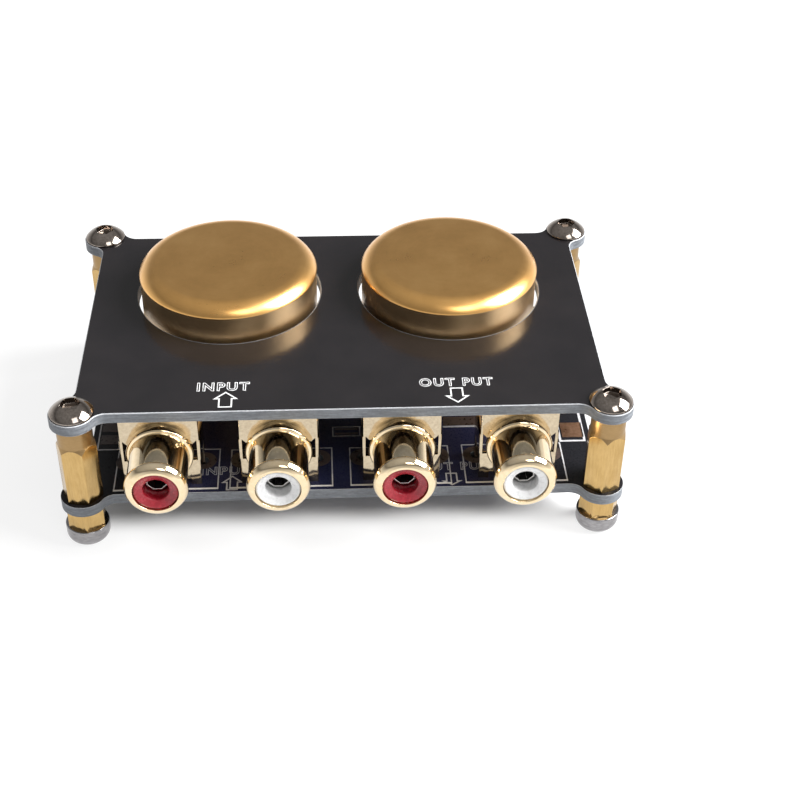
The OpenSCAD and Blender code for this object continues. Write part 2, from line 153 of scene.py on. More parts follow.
def addBump(paint, height, depth, strength, under=None):
    # depth is the height of the relief in mm
    bump = paint["nodes"].new("ShaderNodeBump")
    bump.inputs["Strength"].default_value = strength
    bump.inputs["Distance"].default_value = depth * mm
    paint["link"](height, bump.inputs["Height"])
    if under:
        paint["link"](under, bump.inputs["Normal"])
    return bump.outputs["Normal"]


def mixShaders(paint, factor, first, second):
    mix = paint["nodes"].new("ShaderNodeMixShader")
    for socket, value in zip(mix.inputs, (factor, first, second)):
        paint["link"](value, socket)
    return mix.outputs[0]


def setShader(paint, **values):
    for socket, value in values.items():
        paint["shader"].inputs[socket.replace("_", " ")].default_value = value


def finishPaint(paint, colour, roughness, normal):
    for socket, value in (("Base Color", colour), ("Roughness", roughness), ("Normal", normal)):
        paint["link"](value, paint["shader"].inputs[socket])
    return paint["material"]


# soft boxes, each at a place in mm and aimed at the module; the sky that is seen and mirrored is
# white at the horizon, darkest halfway up and grey overhead
studio = {
    "aim": (0, 0, 12),
    "boxes": [
        {"name": "keyBox", "at": (942, -60, 750), "size": 740, "power": 40},
        {"name": "frontBox", "at": (300, -640, 920), "size": 420, "power": 2.6},
    ],
    "skySoft": 0.30,
    "skyBands": [(0.0, 1.0), (0.25, 0.58), (0.46, 0.16), (0.60, 0.33), (0.80, 0.38), (1.0, 0.50)],
    "floorSize": 3000,
    "plain": 0.8,
    "near": {"paint": 0.90, "glow": 0.04},
    "far": {"paint": 0.20, "glow": 0.82},
    "fade": {"aside": (33, 38), "front": (14.5, 19.5), "behind": (18, 26)},
}


def setLights(plan):
    for box in plan["boxes"]:
        bpy.ops.object.light_add(type="AREA", location=Vector(box["at"]) * mm)
        lamp = bpy.context.object
        lamp.name = box["name"]
        lamp.data.size = box["size"] * mm
        lamp.data.energy = box["power"]
        away = Vector(box["at"]) - Vector(plan["aim"])
        lamp.rotation_euler = away.to_track_quat("Z", "Y").to_euler()


def seenDirectly(paint):
    # camera, glossy and transmission rays see the plain background
    rays = paint["nodes"].new("ShaderNodeLightPath").outputs
    seen = rays["Is Camera Ray"]
    for kind in ("Is Glossy Ray", "Is Transmission Ray"):
        seen = addMath(paint, "MAXIMUM", seen, rays[kind])
    return seen


def setSky(plan):
    world = bpy.data.worlds.new("studioSky")
    bpy.context.scene.world = world
    world.use_nodes = True
    sky = openTree(world.node_tree, "Generated")
    soft = sky["nodes"]["Background"]
    soft.inputs["Color"].default_value = (1, 1, 1, 1)
    soft.inputs["Strength"].default_value = plan["skySoft"]
    shown = sky["nodes"].new("ShaderNodeBackground")
    stops = [(height, (tone,) * 3) for height, tone in plan["skyBands"]]
    sky["link"](addColours(sky, splitPlace(sky)["Z"], stops), shown.inputs["Color"])
    mixed = mixShaders(sky, seenDirectly(sky), soft.outputs[0], shown.outputs[0])
    sky["link"](mixed, sky["nodes"]["World Output"].inputs["Surface"])


def floorFade(paint, fade):
    # nought under the module, where the shadow stays dark, and one a few mm outside it
    spot = splitPlace(paint)
    distances = {
        "aside": addMath(paint, "ABSOLUTE", spot["X"]),
        "front": addMath(paint, "MULTIPLY", spot["Y"], -1),
        "behind": spot["Y"],
    }
    outside = None
    for side, distance in distances.items():
        slope = paint["nodes"].new("ShaderNodeMapRange")
        slope.interpolation_type = "SMOOTHSTEP"
        for socket, end in zip(("From Min", "From Max"), fade[side]):
            slope.inputs[socket].default_value = end * mm
        paint["link"](distance, slope.inputs["Value"])
        result = slope.outputs["Result"]
        outside = addMath(paint, "MAXIMUM", outside, result) if outside else result
    return outside


def setFloor(plan):
    bpy.ops.mesh.primitive_plane_add(size=plan["floorSize"] * mm)
    floor = bpy.context.object
    floor.name = "paleFloor"
    paint = startPaint("paleFloor")
    nodes, link = paint["nodes"], paint["link"]
    nodes.remove(paint["shader"])
    plain = nodes.new("ShaderNodeBsdfDiffuse")
    plain.inputs["Color"].default_value = (plan["plain"],) * 3 + (1,)
    looks = []
    for look in (plan["near"], plan["far"]):
        matte = nodes.new("ShaderNodeBsdfDiffuse")
        matte.inputs["Color"].default_value = (look["paint"],) * 3 + (1,)
        glow = nodes.new("ShaderNodeEmission")
        glow.inputs["Strength"].default_value = look["glow"]
        both = nodes.new("ShaderNodeAddShader")
        link(matte.outputs[0], both.inputs[0])
        link(glow.outputs[0], both.inputs[1])
        looks.append(both.outputs[0])
    seen = mixShaders(paint, floorFade(paint, plan["fade"]), *looks)
    mixed = mixShaders(paint, seenDirectly(paint), plain.outputs[0], seen)
    link(mixed, nodes["Material Output"].inputs["Surface"])
    floor.data.materials.append(paint["material"])


bpy.context.scene.view_settings.view_transform = "Standard"
setCamera(photoView)
setLights(studio)
setSky(studio)
setFloor(studio)
print("stage: camera, soft boxes, sky and floor are set")


# solder mask of both boards: fine grain over the faint weave of the glass cloth, sizes in mm
maskLook = {
    "cover": {"dark": (0.0085, 0.0074, 0.0086), "light": (0.0125, 0.0106, 0.0118), "gloss": (0.14, 0.20),
              "shine": 0.6},
    "base": {"dark": (0.0165, 0.0190, 0.0510), "light": (0.0230, 0.0265, 0.0700), "gloss": (0.24, 0.34),
             "shine": 0.18, "ends": (0.0120, 0.0122, 0.0150), "endsFrom": (20, 29)},
    "cloud": 7,
    "stops": (0.35, 0.68),
    "grain": 0.16,
    "weave": 0.9,
    "waver": 0.6,
    "waverScale": 400,
    "weaveDepth": 0.004,
    "grainDepth": 0.003,
}


def makeMask(name, look):
    paint = startPaint(name)
    setShader(paint, Specular_IOR_Level=look["shine"])
    clouds = addNoise(paint, maskLook["cloud"], detail=4)
    colour = addColours(paint, clouds, list(zip(maskLook["stops"], (look["dark"], look["light"]))))
    if "ends" in look:
        # the mask turns darker and greyer towards the board's ends
        aside = addMath(paint, "ABSOLUTE", splitPlace(paint)["X"])
        near, far = (end * mm for end in look["endsFrom"])
        mix = paint["nodes"].new("ShaderNodeMix")
        mix.data_type = "RGBA"
        middle, end = (socket for socket in mix.inputs if socket.type == "RGBA")
        paint["link"](addRange(paint, aside, 0, 1, near, far), mix.inputs["Factor"])
        paint["link"](colour, middle)
        end.default_value = (*look["ends"], 1)
        colour = next(socket for socket in mix.outputs if socket.type == "RGBA")
    grain = addNoise(paint, maskLook["grain"], detail=2)
    threads = None
    for direction in ("X", "Y"):
        wave = paint["nodes"].new("ShaderNodeTexWave")
        wave.bands_direction = direction
        # a wave of scale 1 repeats every 2 pi / 20
        wave.inputs["Scale"].default_value = 2 * math.pi / (20 * maskLook["weave"] * mm)
        wave.inputs["Distortion"].default_value = maskLook["waver"]
        wave.inputs["Detail Scale"].default_value = maskLook["waverScale"]
        paint["link"](paint["place"], wave.inputs["Vector"])
        threads = addMath(paint, "MULTIPLY", threads, wave.outputs["Fac"]) if threads else wave.outputs["Fac"]
    cloth = addBump(paint, threads, maskLook["weaveDepth"], 0.5)
    relief = addBump(paint, grain, maskLook["grainDepth"], 0.6, cloth)
    return finishPaint(paint, colour, addRange(paint, grain, *look["gloss"]), relief)


# sawn edge of the boards: pale glass cloth in layers with a few darker pits
edgeLook = {
    "tones": ((0.090, 0.099, 0.113), (0.138, 0.151, 0.170), (0.200, 0.216, 0.239)),
    "stops": (0.34, 0.50, 0.66),
    "shine": 0.45,
    "layer": 2.2,
    "flatten": (1, 1, 9),
    "pit": 0.35,
    "gloss": (0.38, 0.62),
    "depth": 0.015,
}


def makeEdge(name, look):
    paint = startPaint(name)
    setShader(paint, Specular_IOR_Level=look["shine"])
    layers = addNoise(paint, look["layer"], detail=5, rough=0.62, stretch=look["flatten"])
    pits = addNoise(paint, look["pit"])
    both = addBlend(paint, layers, pits, 0.7)
    colour = addColours(paint, both, list(zip(look["stops"], look["tones"])))
    relief = addBump(paint, both, look["depth"], 0.5)
    return finishPaint(paint, colour, addRange(paint, pits, *look["gloss"]), relief)


# satin can: blasted grain with faint turned rings round each can's axis
canLooks = {
    "satinCan": {"tones": ((0.790, 0.430, 0.130), (0.880, 0.490, 0.155), (0.950, 0.555, 0.190)),
                 "gloss": (0.27, 0.30)},
    # the wall's rougher drawn finish, with a paler, greyer tone that paints the whiter sheen of the wall
    "drawnWallAndSheen": {"tones": ((0.740, 0.495, 0.250), (0.810, 0.550, 0.285), (0.870, 0.605, 0.325)),
                 "gloss": (0.32, 0.39)},
}
canMarks = {"lacquer": 0.35, "lacquerRough": 0.22, "ring": 0.22, "turn": 0.6, "grain": 0.14, "stain": 5,
            "stops": (0.30, 0.50, 0.72), "grainDepth": 0.006, "ringDepth": 0.002}


def makeCanPaint(name, look):
    marks = canMarks
    low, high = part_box("right_can")
    axis = (low + high) / 2
    paint = startPaint(name)
    setShader(paint, Metallic=1.0, Coat_Weight=marks["lacquer"], Coat_Roughness=marks["lacquerRough"])
    spot = splitPlace(paint)
    aside = addMath(paint, "SUBTRACT", addMath(paint, "ABSOLUTE", spot["X"]), axis.x)
    behind = addMath(paint, "SUBTRACT", spot["Y"], axis.y)
    squares = [addMath(paint, "MULTIPLY", leg, leg) for leg in (aside, behind)]
    out = addMath(paint, "SQRT", addMath(paint, "ADD", *squares))
    around = addMath(paint, "MULTIPLY", addMath(paint, "ARCTAN2", behind, aside), marks["turn"] * mm)
    turned = paint["nodes"].new("ShaderNodeCombineXYZ")
    for socket, value in zip(turned.inputs, (out, around, spot["Z"])):
        paint["link"](value, socket)
    rings = addNoise(paint, marks["ring"], vector=turned.outputs[0])
    grain = addNoise(paint, marks["grain"], detail=2)
    stains = addNoise(paint, marks["stain"], detail=5, rough=0.6)
    colour = addColours(paint, addBlend(paint, stains, rings, 0.85), list(zip(marks["stops"], look["tones"])))
    gloss = addRange(paint, addBlend(paint, rings, stains, 0.3), *look["gloss"])
    blasted = addBump(paint, grain, marks["grainDepth"], 0.5)
    return finishPaint(paint, colour, gloss, addBump(paint, rings, marks["ringDepth"], 0.10, blasted))


# the bright and turned metals share one recipe: two tones, a gloss range and fine marks
metalLooks = {
    "goldPlate": {"tones": ((0.84, 0.67, 0.425), (0.90, 0.74, 0.505)), "gloss": (0.06, 0.11),
                  "grain": 0.6, "relief": 0.001},
    "goldSheet": {"tones": ((0.50, 0.410, 0.285), (0.62, 0.520, 0.375)), "gloss": (0.09, 0.15),
                  "grain": 0.4, "relief": 0.0015},
    "brushedBrass": {"tones": ((0.50, 0.325, 0.122), (0.60, 0.405, 0.168)), "gloss": (0.17, 0.23),
                     "grain": 0.30, "stretch": (1, 1, 0.15), "relief": 0.0006},
    # turned brass is rougher, and its darker tone is painted shade under the cover's ear
    "turnedBrassAndShade": {"tones": ((0.31, 0.200, 0.092), (0.39, 0.258, 0.122)), "gloss": (0.26, 0.36),
                    "grain": 0.20, "stretch": (0.3, 0.3, 3), "relief": 0.001},
    "darkNickel": {"tones": ((0.205, 0.172, 0.148), (0.335, 0.292, 0.258)), "gloss": (0.07, 0.13),
                   "grain": 0.3, "relief": 0.002},
    "footSilver": {"tones": ((0.23, 0.222, 0.228), (0.37, 0.361, 0.367)), "gloss": (0.14, 0.24),
                   "grain": 0.25, "stretch": (0.3, 0.3, 1), "relief": 0.002},
    "springTin": {"tones": ((0.70, 0.68, 0.65), (0.86, 0.84, 0.81)), "gloss": (0.16, 0.28),
                  "grain": 0.3, "stretch": (1, 0.2, 1), "relief": 0.002},
    # dark tin for the inside of the contact tube: painted shade
    "tinInPaintedShade": {"tones": ((0.06, 0.058, 0.056), (0.10, 0.097, 0.094)), "gloss": (0.40, 0.60),
                "grain": 0.3, "stretch": (1, 0.2, 1), "relief": 0.002},
    "bareCopper": {"tones": ((0.52, 0.27, 0.155), (0.70, 0.41, 0.260)), "gloss": (0.25, 0.42),
                   "grain": 0.35, "relief": 0.004},
    "softSolder": {"tones": ((0.50, 0.50, 0.50), (0.74, 0.74, 0.735)), "gloss": (0.16, 0.34),
                   "grain": 0.5, "relief": 0.02},
    "coreIron": {"tones": ((0.10, 0.095, 0.09), (0.20, 0.19, 0.18)), "gloss": (0.35, 0.60),
                 "grain": 0.4, "stretch": (1, 1, 4), "relief": 0.01},
    "enamelWire": {"tones": ((0.36, 0.13, 0.05), (0.62, 0.27, 0.11)), "gloss": (0.18, 0.32),
                   "grain": 0.25, "stretch": (4, 4, 0.2), "relief": 0.03},
}
metalMarks = {"smear": 3, "stops": (0.36, 0.60)}


def makeMetal(name, look):
    paint = startPaint(name)
    setShader(paint, Metallic=1.0)
    smears = addNoise(paint, metalMarks["smear"], detail=4, rough=0.6)
    marks = addNoise(paint, look["grain"], stretch=look.get("stretch", (1, 1, 1)))
    tone = addBlend(paint, smears, marks, 0.5)
    colour = addColours(paint, tone, list(zip(metalMarks["stops"], look["tones"])))
    relief = addBump(paint, marks, look["relief"], 0.4)
    return finishPaint(paint, colour, addRange(paint, tone, *look["gloss"]), relief)


# moulded inserts, the closing discs, covered copper, fine lines and the printed ink; the pale board chamfer
# line is a painted highlight and the deck's grey ink is painted shade
dullLooks = {
    "redInsert": {"tones": ((0.240, 0.009, 0.017), (0.320, 0.015, 0.027)), "gloss": (0.20, 0.32),
                  "grain": 0.6, "relief": 0.003},
    "whiteInsert": {"tones": ((0.60, 0.60, 0.60), (0.70, 0.70, 0.70)), "gloss": (0.22, 0.36),
                    "grain": 0.6, "relief": 0.003},
    "phenolicDisc": {"tones": ((0.085, 0.045, 0.022), (0.150, 0.085, 0.045)), "gloss": (0.40, 0.60),
                     "grain": 0.5, "relief": 0.01},
    "maskedCopper": {"tones": ((0.042, 0.030, 0.028), (0.070, 0.050, 0.044)), "gloss": (0.25, 0.40),
                     "grain": 0.5, "relief": 0.004},
    # pale grey on the board chamfers: a painted highlight along the edges
    "paintedEdgeHighlight": {"tones": ((0.36, 0.37, 0.39), (0.48, 0.49, 0.51)), "gloss": (0.40, 0.55),
                 "grain": 0.3, "relief": 0.003},
    "rimLine": {"tones": ((0.10, 0.102, 0.108), (0.18, 0.183, 0.190)), "gloss": (0.40, 0.55),
                "grain": 0.3, "relief": 0.003},
    # grey ink: the deck print painted in the shade under the cover
    "shadedInk": {"tones": ((0.46, 0.46, 0.48), (0.62, 0.62, 0.64)), "gloss": (0.45, 0.65),
                 "grain": 0.12, "relief": 0.005},
    "whiteInk": {"tones": ((0.66, 0.66, 0.67), (0.82, 0.82, 0.82)), "gloss": (0.45, 0.65),
                 "grain": 0.12, "relief": 0.008},
}
dullMarks = {"cloudGrains": 4, "stops": (0.38, 0.60)}


def makeDull(name, look):
    paint = startPaint(name)
    clouds = addNoise(paint, look["grain"] * dullMarks["cloudGrains"])
    grain = addNoise(paint, look["grain"])
    tone = addBlend(paint, clouds, grain, 0.5)
    colour = addColours(paint, tone, list(zip(dullMarks["stops"], look["tones"])))
    relief = addBump(paint, grain, look["relief"], 0.5)
    return finishPaint(paint, colour, addRange(paint, grain, *look["gloss"]), relief)


paints = {
    "coverMask": makeMask("coverMask", maskLook["cover"]),
    "baseMask": makeMask("baseMask", maskLook["base"]),
    "boardEdge": makeEdge("sawnBoardEdge", edgeLook),
}
for make, looks in ((makeCanPaint, canLooks), (makeMetal, metalLooks), (makeDull, dullLooks)):
    paints.update({name: make(name, look) for name, look in looks.items()})
print("paints:", ", ".join(sorted(paints)))


# points closer than these, in mm, become one: anywhere, and after a cut
merging = {"near": 0.002, "carved": 0.01}


def clearSelection():
    if bpy.context.object and bpy.context.object.mode != "OBJECT":
        bpy.ops.object.mode_set(mode="OBJECT")
    bpy.ops.object.select_all(action="DESELECT")


def makeActive(piece):
    clearSelection()
    piece.select_set(True)
    bpy.context.view_layer.objects.active = piece


def namePiece(name, piece=None):
    piece = piece or bpy.context.object
    piece.name = piece.data.name = name
    return piece


def settle(piece):
    # the place goes into the mesh and the object stays at the origin
    makeActive(piece)
    bpy.ops.object.transform_apply(location=True, rotation=True, scale=True)
    return piece


def applyModifier(piece, kind, **values):
    makeActive(piece)
    modifier = piece.modifiers.new(kind.lower(), kind)
    for key, value in values.items():
        setattr(modifier, key, value)
    bpy.ops.object.modifier_apply(modifier=modifier.name)


def shadeByAngle(piece, degrees):
    makeActive(piece)
    bpy.ops.object.shade_smooth_by_angle(angle=math.radians(degrees))


def clearSlivers(piece, size):
    # edges shorter than size, in mm, and faces without area are closed up
    makeActive(piece)
    bpy.ops.object.mode_set(mode="EDIT")
    bpy.ops.mesh.select_all(action="SELECT")
    bpy.ops.mesh.remove_doubles(threshold=size * mm)
    bpy.ops.mesh.dissolve_degenerate(threshold=size * mm)
    bpy.ops.object.mode_set(mode="OBJECT")


def soften(piece, width, segments=2, degrees=35):
    # small rounds on every sharp edge, width in mm
    applyModifier(piece, "BEVEL", width=width * mm, segments=segments, limit_method="ANGLE",
                  angle_limit=math.radians(degrees), use_clamp_overlap=True)
    clearSlivers(piece, merging["near"])
    shadeByAngle(piece, degrees)


def carve(piece, tool, operation="DIFFERENCE"):
    applyModifier(piece, "BOOLEAN", operation=operation, solver="EXACT", object=tool)
    bpy.data.objects.remove(tool)
    clearSlivers(piece, merging["carved"])


def dress(piece, paintNames, nodes=()):
    piece.data.materials.clear()
    for paintName in paintNames:
        piece.data.materials.append(paints[paintName])
    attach(piece, "root")
    if nodes:
        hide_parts(*nodes)
    return piece


def roundProfile(corners, steps=6):
    # corners are (out, along) or (out, along, rounding), in mm
    points = []
    for i, corner in enumerate(corners):
        here = Vector(corner[:2])
        if len(corner) == 2:
            points.append(here)
            continue
        before = (Vector(corners[i - 1][:2]) - here).normalized()
        after = (Vector(corners[i + 1][:2]) - here).normalized()
        half = before.angle(after) / 2
        reach = corner[2] / math.tan(half)
        middle = here + (before + after).normalized() * corner[2] / math.sin(half)
        start = here + before * reach - middle
        end = here + after * reach - middle
        sweep = start.angle(end)
        for k in range(steps + 1):
            share = k / steps
            blend = math.sin((1 - share) * sweep) * start + math.sin(share * sweep) * end
            points.append(middle + blend / math.sin(sweep))
    return points


def spinProfile(name, points, base, along, steps):
    # one point is walked along the half section, and the line is spun round the axis
    places = [base + (toRight * out + along * up) * mm for out, up in points]
    clearSelection()
    bpy.ops.mesh.primitive_plane_add(size=mm)
    bpy.ops.object.mode_set(mode="EDIT")
    bpy.ops.mesh.select_mode(type="VERT")
    bpy.ops.mesh.merge(type="CENTER")
    bpy.ops.transform.translate(value=places[0])
    for here, there in zip(places, places[1:]):
        bpy.ops.mesh.extrude_region_move(TRANSFORM_OT_translate={"value": there - here})
    bpy.ops.mesh.select_all(action="SELECT")
    bpy.ops.mesh.spin(steps=steps, angle=2 * math.pi, center=base, axis=along)
    bpy.ops.mesh.select_all(action="SELECT")
    bpy.ops.mesh.remove_doubles(threshold=merging["near"] * mm)
    bpy.ops.mesh.normals_make_consistent(inside=False)
    bpy.ops.object.mode_set(mode="OBJECT")
    return namePiece(name)


def addHex(acrossFlats, height, base):
    clearSelection()
    corner = acrossFlats / 2 / math.cos(math.pi / 6)
    bpy.ops.mesh.primitive_cylinder_add(vertices=6, radius=corner * mm, depth=height * mm,
                                        location=base + upward * (height / 2 * mm),
                                        rotation=(0, 0, math.radians(30)))
    return settle(bpy.context.object)


def addBox(low, high):
    clearSelection()
    low, high = Vector(low), Vector(high)
    bpy.ops.mesh.primitive_cube_add(size=1, location=(low + high) / 2 * mm)
    bpy.ops.object.mode_set(mode="EDIT")
    bpy.ops.transform.resize(value=(high - low) * mm)
    bpy.ops.object.mode_set(mode="OBJECT")
    return settle(bpy.context.object)


def pick(piece, kind, test):
    # leaves edit mode on, with only the wanted edges or faces selected
    makeActive(piece)
    bpy.ops.object.mode_set(mode="EDIT")
    bpy.ops.mesh.select_mode(type=kind)
    bpy.ops.mesh.select_all(action="DESELECT")
    bpy.ops.object.mode_set(mode="OBJECT")
    mesh = piece.data
    for item in mesh.edges if kind == "EDGE" else mesh.polygons:
        item.select = all(test(mesh.vertices[i].co) for i in item.vertices)
    bpy.ops.object.mode_set(mode="EDIT")


def joinAll(parts, name):
    clearSelection()
    for part in parts:
        part.select_set(True)
    bpy.context.view_layer.objects.active = parts[0]
    bpy.ops.object.join()
    return namePiece(name)


def spread(model, name, spots):
    # one model copied to each (place in metres, turn in degrees) and joined
    copies = []
    for place, turn in spots:
        makeActive(model)
        bpy.ops.object.duplicate()
        copy = bpy.context.object
        copy.location = place
        copy.rotation_euler.z = math.radians(turn)
        copies.append(settle(copy))
    bpy.data.objects.remove(model)
    return joinAll(copies, name)


def copyNode(node, name):
    # own mesh, merged, with its flat faces whole again
    piece = bpy.data.objects.new(name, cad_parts[node].data.copy())
    bpy.context.scene.collection.objects.link(piece)
    makeActive(piece)
    bpy.ops.mesh.customdata_custom_splitnormals_clear()
    bpy.ops.object.mode_set(mode="EDIT")
    bpy.ops.mesh.select_all(action="SELECT")
    bpy.ops.mesh.remove_doubles(threshold=merging["near"] * mm)
    bpy.ops.mesh.dissolve_limited(angle_limit=math.radians(0.5))
    bpy.ops.object.mode_set(mode="OBJECT")
    return namePiece(name, piece)


# boards: solder mask on the faces, sawn cloth on the edges and a painted highlight line on the chamfers where
# the two meet
boards = {"chamfer": 0.1, "faceSlope": 0.97, "edgeSlope": 0.2}


def buildBoard(node, name, mask):
    piece = copyNode(node, name)
    soften(piece, boards["chamfer"], segments=1)
    dress(piece, (mask, "boardEdge", "paintedEdgeHighlight"), (node,))
    for face in piece.data.polygons:
        slope = abs(face.normal.z)
        face.material_index = 0 if slope > boards["faceSlope"] else 1 if slope < boards["edgeSlope"] else 2


buildBoard("top_plate", "cover_board", "coverMask")
buildBoard("base_board", "circuit_board", "baseMask")
print("boards: both dressed")


# drawn cans: straight wall, a fine line, a wide rounded edge and a faintly crowned top
canShell = {"wall": 0.6, "edgeHigh": 1.6, "edgeWide": 2.5, "drawLine": 0.08, "crown": 0.06,
            "crownSteps": (0.75, 0.5, 0.25, 0), "steps": 160, "arcSteps": 14, "innerSteps": 10,
            "soft": 0.02, "wallSlope": 0.3}


def buildCan(side):
    plan = canShell
    low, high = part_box(side + "_can")
    radius, height = (high.x - low.x) / 2 / mm, (high.z - low.z) / mm
    base = Vector(((low.x + high.x) / 2, (low.y + high.y) / 2, low.z))
    wall, lineUp, rim = radius - plan["drawLine"], height - plan["edgeHigh"], height - plan["crown"]
    rise, flat = rim - lineUp, radius - plan["edgeWide"]
    arc = (plan["edgeWide"] ** 2 + rise ** 2) / (2 * rise)
    lean = math.asin(plan["edgeWide"] / arc)
    corners = [(wall, 0), (wall, lineUp)]
    for k in range(plan["arcSteps"] + 1):
        tilt = lean * (1 - k / plan["arcSteps"])
        corners.append((flat + arc * math.sin(tilt), rim - arc + arc * math.cos(tilt)))
    for share in plan["crownSteps"]:
        corners.append((flat * share, height - plan["crown"] * share * share))
    inner, roof = radius - plan["wall"], rim - plan["wall"]
    corners += [(0, roof), (inner, roof, plan["edgeWide"] - plan["wall"]), (inner, 0), (wall, 0)]
    points = roundProfile(corners, plan["innerSteps"])
    piece = spinProfile(side + "_can_shell", points, base, upward, plan["steps"])
    soften(piece, plan["soft"], degrees=40)
    dress(piece, ("satinCan", "drawnWallAndSheen"), (side + "_can",))
    # the straight wall takes the drawn finish with its painted sheen
    crease = base.z + lineUp * mm
    for face in piece.data.polygons:
        face.material_index = int(face.center.z < crease and abs(face.normal.z) < plan["wallSlope"])


for side in canSides:
    buildCan(side)
print("cans: two shells spun")


# corner places, taken from the cover board's ears
earRadius = 3
plateLow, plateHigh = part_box("top_plate")
cornerPlaces = [
    Vector((plateLow.x + earRadius * mm, plateLow.y + earRadius * mm, 0)),
    Vector((plateHigh.x - earRadius * mm, plateLow.y + earRadius * mm, 0)),
    Vector((plateHigh.x - earRadius * mm, plateHigh.y - earRadius * mm, 0)),
    Vector((plateLow.x + earRadius * mm, plateHigh.y - earRadius * mm, 0)),
]


def atCorners(level, turns):
    lift = upward * level
    return [(place + lift, turn) for place, turn in zip(cornerPlaces, turns)]


# domed screws with a hex socket, and how far each one happens to be turned
capScrew = {"head": 5.7, "height": 1.65, "rim": 0.25, "under": 0.08, "arcSteps": 14, "shank": 2.9, "length": 6,
            "tip": 0.3, "socket": 2.3, "depth": 1, "steps": 64, "soft": 0.06, "turns": (12, 34, 5, 48)}


def buildCapScrews():
    plan = capScrew
    headR, shankR, tip, under = plan["head"] / 2, plan["shank"] / 2, plan["tip"], plan["under"]
    height, end = plan["height"], -plan["length"]
    dome = height - plan["rim"]
    ball = (headR ** 2 + dome ** 2) / (2 * dome)
    widest = math.asin(headR / ball)
    corners = [(0, end), (shankR - tip, end), (shankR, tip + end), (shankR, 0),
               (headR - under, 0), (headR, under), (headR, plan["rim"])]
    for k in range(plan["arcSteps"] - 1, -1, -1):
        lean = widest * k / plan["arcSteps"]
        corners.append((ball * math.sin(lean), height - ball + ball * math.cos(lean)))
    screw = spinProfile("capScrew", roundProfile(corners), origin, upward, plan["steps"])
    carve(screw, addHex(plan["socket"], plan["depth"] + 1, Vector((0, 0, (height - plan["depth"]) * mm))))
    soften(screw, plan["soft"], segments=3, degrees=28)
    piece = spread(screw, "cap_screws", atCorners(plateHigh.z, plan["turns"]))
    dress(piece, ("darkNickel",), ("top_screws",))


# lower screws whose rounded heads are the feet
footScrew = {"head": 5.8, "height": 2.8, "round": 1.4, "seat": 0.15, "shank": 2.9, "length": 9, "tip": 0.3,
             "recess": 3.2, "slot": 0.7, "depth": 1.1, "steps": 64, "arcSteps": 8, "soft": 0.05,
             "turns": (20, 65, 40, 5)}


def buildFeet():
    plan = footScrew
    headR, shankR, height, tip = plan["head"] / 2, plan["shank"] / 2, plan["height"], plan["tip"]
    end = height + plan["length"]
    corners = [(0, 0), (headR, 0, plan["round"]), (headR, height, plan["seat"]), (shankR, height),
               (shankR, end - tip), (shankR - tip, end), (0, end)]
    points = roundProfile(corners, plan["arcSteps"])
    foot = spinProfile("footScrew", points, origin, upward, plan["steps"])
    long, thin, deep = plan["recess"] / 2, plan["slot"] / 2, plan["depth"]
    carve(foot, addBox((-long, -thin, -1), (long, thin, deep)))
    carve(foot, addBox((-thin, -long, -1), (thin, long, deep)))
    soften(foot, plan["soft"], degrees=30)
    piece = spread(foot, "round_feet", atCorners(0, plan["turns"]))
    dress(piece, ("footSilver",), ("foot_screws",))


# hex brass: a turned section cut by a hex bar leaves the arcs of a real chamfer
hexBrass = {"flats": 4.7, "chamfer": 0.14, "chamferWide": 1.7, "over": 0.02, "steps": 96, "soft": 0.12,
            "bore": 3, "neck": 4.6, "neckHeight": 2.9, "neckEdge": 0.1, "shoulder": 0.8, "coneSlope": 0.15,
            "standoffTurns": (52, 82, 112, 142), "spacerTurns": (35, 5, -25, -55), "spacerBore": 3.2}


def turnHex(model, name, section, tall, level, turns):
    plan = hexBrass
    bar = spinProfile(model, roundProfile(section), origin, upward, plan["steps"])
    carve(bar, addHex(plan["flats"], tall + 2, Vector((0, 0, -mm))), "INTERSECT")
    soften(bar, plan["soft"], degrees=20)
    return spread(bar, name, atCorners(level, turns))


def buildHexBrass():
    plan = hexBrass
    corner, cut = plan["flats"] / 2 / math.cos(math.pi / 6), plan["chamfer"]
    inner, outer = corner - cut * plan["chamferWide"], corner + plan["over"]
    low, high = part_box("standoffs")
    tall = (high.z - low.z) / mm
    body = tall - plan["neckHeight"] - plan["shoulder"]
    bore, neck, edge = plan["bore"] / 2, plan["neck"] / 2, plan["neckEdge"]
    section = [(bore, 0), (inner, 0), (outer, cut), (outer, body), (neck, body + plan["shoulder"]),
               (neck, tall - edge), (neck - edge, tall), (bore, tall), (bore, 0)]
    posts = turnHex("standoff", "hex_standoffs", section, tall, low.z, plan["standoffTurns"])
    dress(posts, ("brushedBrass", "turnedBrassAndShade"), ("standoffs",))
    hexTop, neckFoot = low.z + body * mm, low.z + (body + plan["shoulder"]) * mm
    # the neck and the shoulder cone above the hex take the darker brass, painted shade under the ear
    for face in posts.data.polygons:
        level, cone = face.center.z, face.normal.z > plan["coneSlope"]
        face.material_index = int(level > neckFoot or level > hexTop and cone)

    low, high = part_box("lower_spacers")
    short, bore = (high.z - low.z) / mm, plan["spacerBore"] / 2
    section = [(bore, 0), (inner, 0), (outer, cut), (outer, short - cut), (inner, short),
               (bore, short), (bore, 0)]
    nuts = turnHex("spacer", "hex_spacers", section, short, low.z, plan["spacerTurns"])
    dress(nuts, ("brushedBrass",), ("lower_spacers",))


buildCapScrews()
buildFeet()
buildHexBrass()
print("corners: screws, feet and hex brass turned")


# stamped bracket, softened like sheet metal, with a round fold where each arm turns back
bracketSheet = {"fold": 0.35, "near": 0.02, "soft": 0.06}

